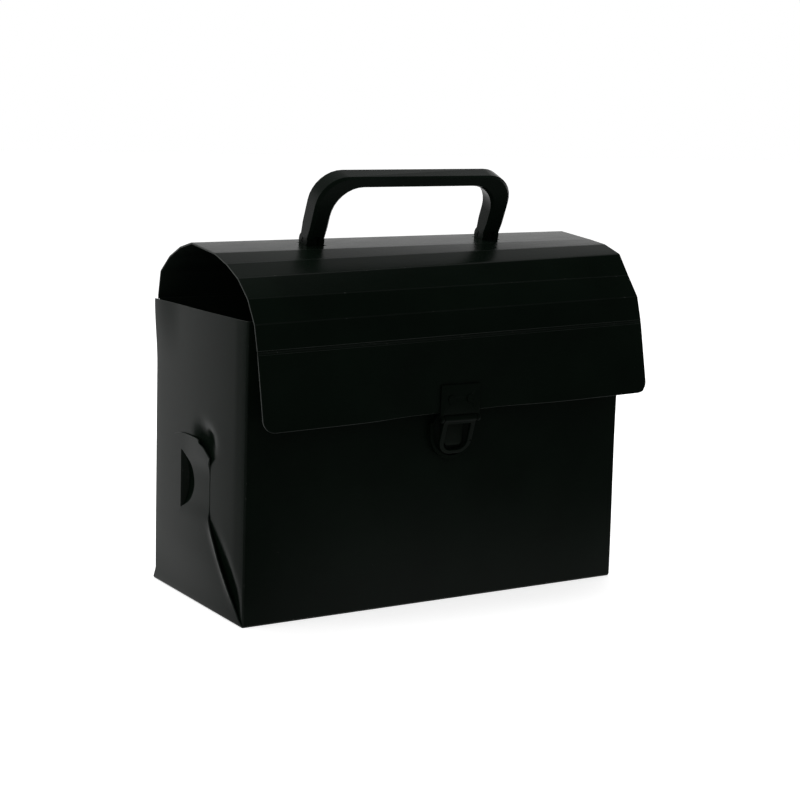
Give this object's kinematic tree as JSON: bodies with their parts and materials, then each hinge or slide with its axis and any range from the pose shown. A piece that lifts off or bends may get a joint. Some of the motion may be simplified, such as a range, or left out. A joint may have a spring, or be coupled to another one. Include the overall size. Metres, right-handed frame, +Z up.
{
  "type": "folded sheet lunch box",
  "caption": "Carrying case folded from plastic sheet, with a creased vault lid, a front flap closed by a loop-and-button lock, and a moulded handle.",
  "frame": {"origin": "middle of the underside of the case, on the surface it stands on", "axes": "+X to the right along the front panel, +Y from the front to the back, +Z up"},
  "size_m": [0.2272, 0.1179, 0.215],
  "materials": {
    "sheet": "black polypropylene sheet, satin, fine moulded grain",
    "mouldings": "black moulded plastic, semi-gloss",
    "fixings": "plain steel wire and rivets"
  },
  "bodies": {
    "case": {"base_panel": "sheet", "front_panel": "sheet", "back_panel": "sheet", "left_side_panel": "sheet", "right_side_panel": "sheet", "left_base_tuck": "sheet", "right_base_tuck": "sheet", "left_rear_tuck": "sheet", "right_rear_tuck": "sheet", "lock_base": "mouldings", "lock_base_rivets": "fixings", "lock_back_cup": "mouldings", "lock_spring": "fixings"},
    "lid": {"lid_rear_strip_1": "sheet", "lid_rear_strip_2": "sheet", "lid_rear_strip_3": "sheet", "lid_rear_strip_4": "sheet", "lid_top_strip": "sheet", "lid_front_strip_1": "sheet", "lid_front_strip_2": "sheet", "lid_front_strip_3": "sheet", "lid_front_strip_4": "sheet", "lid_front_strip_5": "sheet", "left_handle_anchor": "mouldings", "right_handle_anchor": "mouldings"},
    "flap": {"front_flap": "sheet", "lock_plate": "mouldings", "lock_plate_rivets": "mouldings", "lock_hinge_pin": "fixings"},
    "loop": {"lock_loop": "mouldings"},
    "button": {"lock_button": "mouldings"},
    "handle": {"handle": "mouldings", "handle_pivot_pins": "fixings"}
  },
  "joints": [
    {"name": "lid_hinge", "type": "hinge", "parent": "case", "child": "lid", "pos_m": [0.0033, 0.0496, 0.147], "axis": [-1, 0, 0], "range_deg": [0, 135]},
    {"name": "flap_fold", "type": "hinge", "parent": "lid", "child": "flap", "pos_m": [0.0033, -0.05867, 0.13535], "axis": [-0.9996, -0.0045, -0.0263], "range_deg": [0, 100]},
    {"name": "loop_swing", "type": "hinge", "parent": "flap", "child": "loop", "pos_m": [0.0033, -0.05906, 0.09473], "axis": [-1, 0, 0], "range_deg": [0, 135]},
    {"name": "button_press", "type": "slide", "parent": "case", "child": "button", "axis": [0, 1, 0], "range_m": [0, 0.0012], "stiffness_N_per_m": 600, "springref_m": -0.0008, "deforming": ["lock_spring"]},
    {"name": "handle_swing", "type": "hinge", "parent": "lid", "child": "handle", "pos_m": [0.0033, -0.00024, 0.17936], "axis": [0.9999, 0, 0.0134], "range_deg": [-59, 26]}
  ]
}
